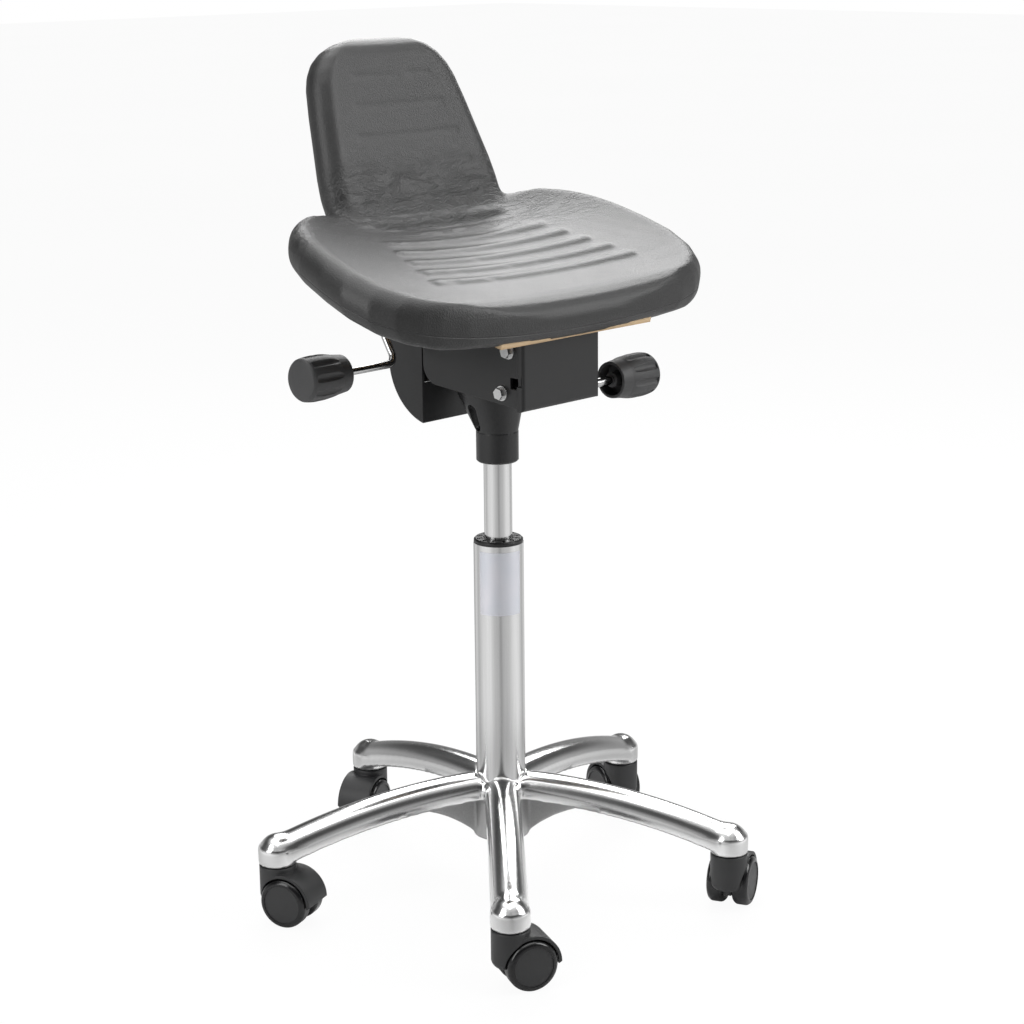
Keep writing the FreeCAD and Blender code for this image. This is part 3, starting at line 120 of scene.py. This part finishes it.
class Finish:
    """A material under construction. Its coordinates are metres in the stool's own frame."""

    def __init__(self, name):
        self.material = bpy.data.materials.new(name)
        self.material.use_nodes = True
        self.tree = self.material.node_tree
        self.shader = self.tree.nodes["Principled BSDF"]
        self.place = self.add("ShaderNodeTexCoord", "Object")

    def add(self, kind, output, settings=(), **inputs):
        node = self.tree.nodes.new(kind)
        for name, value in dict(settings).items():
            setattr(node, name, value)
        for name, value in inputs.items():
            feed(self.tree, value, node.inputs[name.replace("_", " ")])
        return Socket(self.tree, node.outputs[output])

    def axes(self, vector=None):
        """The x, y and z of a place."""
        node = self.tree.nodes.new("ShaderNodeSeparateXYZ")
        feed(self.tree, vector or self.place, node.inputs[0])
        return [Socket(self.tree, output) for output in node.outputs]

    def facing(self):
        """The x, y and z of the way the surface faces."""
        return self.axes(self.add("ShaderNodeNewGeometry", "Normal"))

    def point(self, x, y, z):
        return self.add("ShaderNodeCombineXYZ", "Vector", X=x, Y=y, Z=z)

    def noise(self, scale, detail=3.0, roughness=0.55, vector=None, distortion=0.0):
        return self.add("ShaderNodeTexNoise", 0, Vector=vector or self.place, Scale=scale,
                        Detail=detail, Roughness=roughness, Distortion=distortion)

    def cells(self, scale):
        return self.add("ShaderNodeTexVoronoi", "Distance", Vector=self.place, Scale=scale)

    def blend(self, first, second, share):
        """A colour between two others."""
        node = self.tree.nodes.new("ShaderNodeMix")
        node.data_type = "RGBA"
        feed(self.tree, share, node.inputs[0])
        feed(self.tree, first, node.inputs[6])
        feed(self.tree, second, node.inputs[7])
        return Socket(self.tree, node.outputs[2])

    def bump(self, height, depth, under=None):
        """Surface relief; the height is 0 to 1 and the depth is in metres."""
        node = self.tree.nodes.new("ShaderNodeBump")
        feed(self.tree, 1.0, node.inputs["Strength"])
        feed(self.tree, depth, node.inputs["Distance"])
        feed(self.tree, height, node.inputs["Height"])
        if under:
            feed(self.tree, under, node.inputs["Normal"])
        return Socket(self.tree, node.outputs["Normal"])

    def round_edges(self, radius):
        return self.add("ShaderNodeBevel", "Normal", Radius=radius)

    def surface(self, **inputs):
        for name, value in inputs.items():
            feed(self.tree, value, self.shader.inputs[name.replace("_", " ")])
        return self.material


# Finishes. Lengths are metres, and pairs of lengths are where a change begins and ends


def shell_finish():
    """Integral-skin foam with a fine leather grain, creased where the seat turns up to the back."""
    bend_y, bend_z = 0.085, 0.685
    rim_height, rim_slope, rim_hollow = 0.629, 0.352, 0.331
    lift_start, lift_curve = -0.06, 2.7
    look = Finish("shell_polyurethane")
    x, y, z = look.axes()
    patches = look.noise(14.0, 4.0, 0.6)

    grain = look.cells(620.0) * 0.6 + look.noise(1500.0, 4.0, 0.6) * 0.5
    grain_relief = look.bump(grain, 0.00026)

    # Parting line of the mould, which follows the rim and its lift at the front
    front_lift = (lift_start - y).larger(0.0) ** 2.0 * lift_curve
    above_line = z - (y * rim_slope + x * x * rim_hollow + front_lift + rim_height)
    on_rim = 1.0 - look.facing()[2].step(0.3, 0.6)
    seam = (1.0 - (above_line.size() * 1000.0).step(0.2, 1.0)) * on_rim
    seam_relief = look.bump(1.0 - seam, 0.0006, grain_relief)

    # Creases of the skin at the bend
    at_bend = 1.0 - ((y - bend_y).size() * 9.0 + (z - bend_z).size() * 7.0).step(0.1, 0.9)
    wander = look.noise(34.0, 6.0, 0.62, look.point(x * 0.8, y * 2.6, z * 2.2), 0.5)
    creases = 1.0 - ((wander - 0.5).size() * 14.0).smaller(1.0)
    relief = look.bump(creases * at_bend, 0.0004, seam_relief)

    tone = look.blend(0.016, 0.024, patches)
    worn = look.blend(tone, 0.034, (grain * 0.8).step(0.35, 0.8) * 0.5)
    return look.surface(Base_Color=worn, Roughness=0.36 + patches * 0.1, Normal=relief,
                        Specular_IOR_Level=0.5)


def polished_finish():
    """Mirror-polished casting outside, grey and pitted inside the hollows and on the webs."""
    web_inner, web_outer, web_top = (0.026, 0.03), (0.106, 0.112), (0.096, 0.102)
    look = Finish("polished_aluminium")
    x, y, z = look.axes()
    facing_down = (-1.0 * look.facing()[2]).step(0.1, 0.5)
    radius = (x * x + y * y) ** 0.5
    below_outer = (1.0 - radius.step(*web_outer)) * (1.0 - z.step(*web_top))
    web = below_outer * radius.step(*web_inner)
    rough_area = (facing_down + web).smaller(1.0)
    pits = look.noise(700.0, 5.0, 0.7)
    swirl = look.noise(22.0, 3.0, 0.5)
    tone = look.blend(0.8, 0.87, swirl)
    colour = look.blend(tone, look.blend(0.26, 0.5, pits), rough_area)
    relief = look.bump(pits * rough_area, 0.0005)
    return look.surface(Base_Color=colour, Metallic=1.0,
                        Roughness=0.15 + swirl * 0.06 + rough_area * 0.35, Normal=relief)


def plated_finish(name, low, high, rough):
    """Bright plating with faint lengthwise polishing marks."""
    look = Finish(name)
    x, y, z = look.axes()
    marks = look.noise(260.0, 3.0, 0.6, look.point(x, y, z * 0.03))
    tone = look.blend(low, high, marks)
    return look.surface(Base_Color=tone, Metallic=1.0, Roughness=rough + marks * 0.05)


def moulded_finish(name, tone, rough, edge=0.0008, grain=900.0, depth=0.00006):
    """Plastic or paint with a fine texture and softened edges."""
    look = Finish(name)
    speckle = look.noise(grain, 4.0, 0.6)
    patches = look.noise(30.0, 3.0, 0.5)
    darker = [value * 0.85 for value in tone]
    lighter = [value * 1.2 for value in tone]
    relief = look.bump(speckle, depth, look.round_edges(edge))
    return look.surface(Base_Color=look.blend(darker, lighter, patches),
                        Roughness=rough + speckle * 0.08, Normal=relief)


def steel_finish(name, low, high, rough):
    """Plain or zinc-plated steel."""
    look = Finish(name)
    grain = look.noise(500.0, 4.0, 0.6)
    return look.surface(Base_Color=look.blend(low, high, grain), Metallic=1.0,
                        Roughness=rough + grain * 0.12, Normal=look.round_edges(0.0004))


def wheel_finish(centre, axle):
    """Black wheel: a glossy tread and shoulder round a smooth matt disc."""
    disc_edge = (0.0192, 0.0197)
    look = Finish("wheel_plastic")
    x, y, z = look.axes()
    dx, dy, dz = x - centre.x, y - centre.y, z - centre.z
    along = dx * axle.x + dy * axle.y
    radius = (dx * dx + dy * dy + dz * dz - along * along) ** 0.5
    rim = radius.step(*disc_edge)
    speckle = look.noise(1200.0, 4.0, 0.6)
    colour = look.blend((0.022, 0.0222, 0.023), (0.006, 0.006, 0.0065), rim)
    relief = look.bump(speckle * (1.0 - rim), 0.00005)
    return look.surface(Base_Color=colour, Roughness=0.42 - rim * 0.27 + speckle * 0.05,
                        Normal=relief)


def wood_finish():
    """Birch plywood; its plies lie along the slope of the seat."""
    seat_slope = 0.2419
    look = Finish("board_plywood")
    x, y, z = look.axes()
    plies = ((z - seat_slope * y) * 900.0).maths("SINE") * 0.5 + 0.5
    figure = look.noise(60.0, 4.0, 0.6, look.point(x * 0.2, y * 3.0, z))
    colour = look.blend((0.42, 0.28, 0.15), (0.62, 0.46, 0.28), plies * 0.6 + figure * 0.4)
    return look.surface(Base_Color=colour, Roughness=0.6 + figure * 0.1)


def label_finish():
    """Bare silver foil with a faint colour shift."""
    look = Finish("label_foil")
    x, y, z = look.axes()
    sheen = look.noise(30.0, 3.0, 0.5, look.point(x * 1.5, y * 1.5, z * 0.8))
    fine = look.noise(1800.0, 2.0, 0.5)
    tone = look.blend((0.62, 0.66, 0.72), (0.78, 0.76, 0.80), sheen)
    return look.surface(Base_Color=tone, Metallic=0.75, Roughness=0.34 + fine * 0.08)


CHARCOAL = (0.009, 0.0092, 0.0098)
BLACK = (0.008, 0.008, 0.0085)
SOFT_BLACK = (0.038, 0.038, 0.039)
NYLON = (0.02, 0.0202, 0.021)
IVORY = (0.6, 0.58, 0.52)
finishes = {
    "chrome_tube": plated_finish("chrome_tube", 0.62, 0.8, 0.14),
    "bright_rod": plated_finish("bright_rod", 0.42, 0.6, 0.12),
    "bright_steel": plated_finish("bright_steel", 0.55, 0.7, 0.16),
    "cap_plastic": moulded_finish("cap_plastic", BLACK, 0.3),
    "guide_plastic": moulded_finish("guide_plastic", IVORY, 0.5),
    "bare_steel": steel_finish("bare_steel", 0.3, 0.5, 0.35),
    "zinc_steel": steel_finish("zinc_steel", 0.5, 0.72, 0.25),
    "buffer_rubber": moulded_finish("buffer_rubber", BLACK, 0.7),
    "charcoal_paint": moulded_finish("charcoal_paint", CHARCOAL, 0.3, 0.0016, 1400.0, 0.00004),
    "cover_plastic": moulded_finish("cover_plastic", CHARCOAL, 0.36, 0.0014),
    "grip_plastic": moulded_finish("grip_plastic", SOFT_BLACK, 0.46, 0.0012),
    "hood_plastic": moulded_finish("hood_plastic", NYLON, 0.42, 0.0014),
    "board_plywood": wood_finish(),
}


# Pieces


def add_piece(name, mesh):
    piece = bpy.data.objects.new(name, mesh)
    bpy.context.scene.collection.objects.link(piece)
    return piece


def copy_of(name, label):
    """A loose copy of a frame piece, to be reshaped."""
    mesh = nodes[name].data.copy()
    mesh.name = label
    return add_piece(label, mesh)


def settle(piece):
    """Turns the piece's modifiers into its mesh, with smooth shading."""
    bpy.context.view_layer.update()
    graph = bpy.context.evaluated_depsgraph_get()
    mesh = bpy.data.meshes.new_from_object(piece.evaluated_get(graph))
    piece.modifiers.clear()
    piece.data = mesh
    mesh.polygons.foreach_set("use_smooth", [True] * len(mesh.polygons))
    mesh.update()


def soften(piece, grid, rounds):
    """Rebuilds the piece as one even skin and takes the sharpness off its edges."""
    remesh = piece.modifiers.new("skin", "REMESH")
    remesh.mode = "VOXEL"
    remesh.voxel_size = grid
    smooth = piece.modifiers.new("soften", "SMOOTH")
    smooth.iterations = rounds
    settle(piece)


def melt(piece, share, rounds):
    """Lets the skin flow together where the share, by a place and its normal, is above 0."""
    group = piece.vertex_groups.new(name="melt")
    for vertex in piece.data.vertices:
        weight = share(vertex.co, vertex.normal)
        if weight > 0:
            group.add([vertex.index], min(weight, 1), "REPLACE")
    smooth = piece.modifiers.new("melt", "SMOOTH")
    smooth.iterations = rounds
    smooth.vertex_group = group.name
    settle(piece)


def give(piece, material):
    piece.data.materials.clear()
    piece.data.materials.append(material)


def make_shell():
    """The seat and back as one skin, with soft hollows where the back's sides meet the seat."""
    rib_end, rib_fade = 0.082, 0.012
    neck_y, neck_z = 0.088, 0.682
    neck_depth, neck_height, neck_reach = 0.05, 0.04, 1.35

    def near_neck(place, normal):
        """1 where the sides of the back run into the seat, and 0 at the ribs."""
        side = min(1, max(0, (abs(place.x) - rib_end) / rib_fade))
        away = math.hypot((place.y - neck_y) / neck_depth, (place.z - neck_z) / neck_height)
        return side * max(0, neck_reach - away)

    shell = copy_of("seat_shell", "padded_shell")
    soften(shell, 0.002, 7)
    melt(shell, near_neck, 90)
    give(shell, shell_finish())
    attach(shell, "seat")
    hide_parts("seat_shell")


def make_base():
    """The star base as one skin, evened out on its polished upper side."""
    hollow_top = 0.079

    def upward(place, normal):
        """1 on the polished top of the legs and 0 inside their hollows."""
        return (normal.z + 0.1) * 2 if place.z > hollow_top else 0

    base = copy_of("star_base", "polished_base")
    soften(base, 0.0014, 20)
    melt(base, upward, 80)
    give(base, polished_finish())
    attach(base, "base")
    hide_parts("star_base")


def make_label():
    """Blank foil sticker wrapped round the column."""
    radius = 0.02512
    low, high = 0.296, 0.3605
    middle, half = math.radians(-131.0), math.radians(52.0)
    steps = 40
    places = []
    faces = []
    for step in range(steps + 1):
        angle = middle + half * (step * 2 / steps - 1)
        for height in (low, high):
            places.append((radius * math.cos(angle), radius * math.sin(angle), height))
        if step:
            first = 2 * step - 2
            faces.append((first, first + 2, first + 3, first + 1))
    mesh = bpy.data.meshes.new("label")
    mesh.from_pydata(places, [], faces)
    mesh.polygons.foreach_set("use_smooth", [True] * len(faces))
    label = add_piece("column_label", mesh)
    give(label, label_finish())
    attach(label, "base")


def paint_frame():
    """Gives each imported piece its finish. A wheel's is centred on the wheel's own axle."""
    for part in frame["record"]["subparts"]:
        name, slot = part["node"], part["material_slot"]
        if slot == "wheel_plastic":
            low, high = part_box(name)
            axle_low, axle_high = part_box("axle_" + name.split("_", 1)[1].rsplit("_", 1)[0])
            centre = (axle_low + axle_high) / 2
            across = (low + high) / 2 - centre
            axle = Vector((across.x, across.y, 0)).normalized()
            give(nodes[name], wheel_finish(centre, axle))
        elif slot in finishes:
            give(nodes[name], finishes[slot])


make_shell()
make_base()
make_label()
paint_frame()


# Room, light and camera


# How bright the studio looks in bright metal, by degrees round the stool
STUDIO_BANDS = [
    (-180, 0.2), (-150, 0.45), (-128, 0.8), (-110, 0.5), (-80, 0.9), (-45, 0.95), (-20, 0.6),
    (-4, 0.5), (6, 0.3), (16, 0.5), (45, 0.62), (70, 0.95), (100, 0.9), (125, 0.45), (150, 0.75),
    (180, 0.2),
]


def studio_level(look, x, y):
    """The studio's brightness in the direction x, y. 0 degrees is the way the camera looks."""
    towards = (x + y) * -1.0
    across = x - y
    turn = across.maths("ARCTAN2", towards) / (2 * math.pi) + 0.5
    node = look.tree.nodes.new("ShaderNodeValToRGB")
    ramp = node.color_ramp
    while len(ramp.elements) > 1:
        ramp.elements.remove(ramp.elements[-1])
    for number, (degrees, level) in enumerate(STUDIO_BANDS):
        place = degrees / 360 + 0.5
        element = ramp.elements[0] if number == 0 else ramp.elements.new(place)
        element.position = place
        element.color = (level, level, level, 1)
    feed(look.tree, turn, node.inputs[0])
    return Socket(look.tree, node.outputs["Color"])


def ray_kind(look, name):
    """1 for rays of one kind and 0 for the others."""
    path = look.tree.nodes.new("ShaderNodeLightPath")
    return Socket(look.tree, path.outputs[name])


def floor_material():
    """Pale floor: the camera sees it nearly white, and bright metal sees the studio's bands."""
    look = Finish("studio_floor")
    cloud = look.noise(0.7, 3.0, 0.5)
    x, y, z = look.axes()
    look.surface(Base_Color=look.blend(0.8, 0.84, cloud), Roughness=0.6)
    camera_ray = ray_kind(look, "Is Camera Ray")
    mirror_ray = ray_kind(look, "Is Glossy Ray")
    distance = (x * x + y * y) ** 0.5
    bands = studio_level(look, x, y) * distance.step(0.15, 0.6)
    shown = look.blend(bands, look.blend(0.99, 1.0, cloud), camera_ray)
    glow = look.add("ShaderNodeEmission", "Emission", Color=shown)
    glow_share = camera_ray * 0.95 + mirror_ray * distance.step(0.1, 0.5) * 0.9
    mix = look.tree.nodes.new("ShaderNodeMixShader")
    feed(look.tree, glow_share, mix.inputs[0])
    look.tree.links.new(look.shader.outputs[0], mix.inputs[1])
    look.tree.links.new(glow.socket, mix.inputs[2])
    look.tree.links.new(mix.outputs[0], look.tree.nodes["Material Output"].inputs["Surface"])
    return look.material


def make_floor():
    half = 20
    corners = [(-half, -half, 0), (half, -half, 0), (half, half, 0), (-half, half, 0)]
    mesh = bpy.data.meshes.new("floor")
    mesh.from_pydata(corners, [], [(0, 1, 2, 3)])
    floor = add_piece("floor", mesh)
    give(floor, floor_material())


class Sky:
    """The world's shader, with its own directions as coordinates."""

    def __init__(self):
        self.world = bpy.data.worlds.new("studio")
        self.world.use_nodes = True
        self.tree = self.world.node_tree
        place = self.tree.nodes.new("ShaderNodeTexCoord")
        split = self.tree.nodes.new("ShaderNodeSeparateXYZ")
        self.tree.links.new(place.outputs["Generated"], split.inputs[0])
        self.x, self.y, self.z = [Socket(self.tree, output) for output in split.outputs]


def make_world():
    """White for the camera. Everything else sees banded walls, a dim belt and a pale ceiling."""
    sky = Sky()
    walls = studio_level(sky, sky.x, sky.y)
    gloom = sky.z.step(0.12, 0.4) * (1.0 - sky.z.step(0.62, 0.9))
    room = walls * (1.0 - gloom * 0.8) * 0.6 + sky.z.step(0.6, 0.95) * 0.5
    camera_ray = ray_kind(sky, "Is Camera Ray")
    level = room * (1.0 - camera_ray) + camera_ray
    sky.tree.links.new(level.socket, sky.tree.nodes["Background"].inputs["Color"])
    bpy.context.scene.world = sky.world


def soft_light(name, location, target, width, height, watts):
    light = bpy.data.lights.new(name, "AREA")
    light.shape = "RECTANGLE"
    light.size = width
    light.size_y = height
    light.energy = watts
    lamp = add_piece(name, light)
    lamp.location = location
    lamp.rotation_mode = "QUATERNION"
    aim = Vector(target) - Vector(location)
    lamp.rotation_quaternion = aim.to_track_quat("-Z", "Y")


def make_camera():
    """The photo's viewpoint: low on the sitter's right, in front."""
    place = (-1.5256, -1.5450, 0.9573)
    pitch = math.radians(14.49)
    roll = math.radians(-0.54)
    level = Vector((1, 1, 0)).normalized()
    right = Vector((1, -1, 0)).normalized()
    upright = Vector((0, 0, 1))
    forward = level * math.cos(pitch) - upright * math.sin(pitch)
    up = level * math.sin(pitch) + upright * math.cos(pitch)
    image_right = right * math.cos(roll) + up * math.sin(roll)
    image_up = up * math.cos(roll) - right * math.sin(roll)
    turn = Matrix((image_right, image_up, -forward)).transposed()
    camera = add_piece("camera", bpy.data.cameras.new("camera"))
    camera.data.lens = 79.5
    camera.data.sensor_width = 36
    camera.data.clip_end = 50
    camera.matrix_world = Matrix.Translation(place) @ turn.to_4x4()
    bpy.context.scene.camera = camera


make_floor()
make_world()
soft_light("behind", (1.6, 1.2, 2.1), (0, 0, 0.65), 2.2, 1.6, 58)
soft_light("overhead", (0.0, 0.1, 2.5), (0, 0, 0.6), 2.4, 2.4, 34)
soft_light("left", (-2.4, 0.3, 1.6), (0, 0, 0.6), 1.2, 2.0, 30)
soft_light("right", (1.5, -2.0, 1.9), (0, 0, 0.7), 1.3, 1.8, 44)
make_camera()
bpy.context.scene.view_settings.view_transform = "Standard"
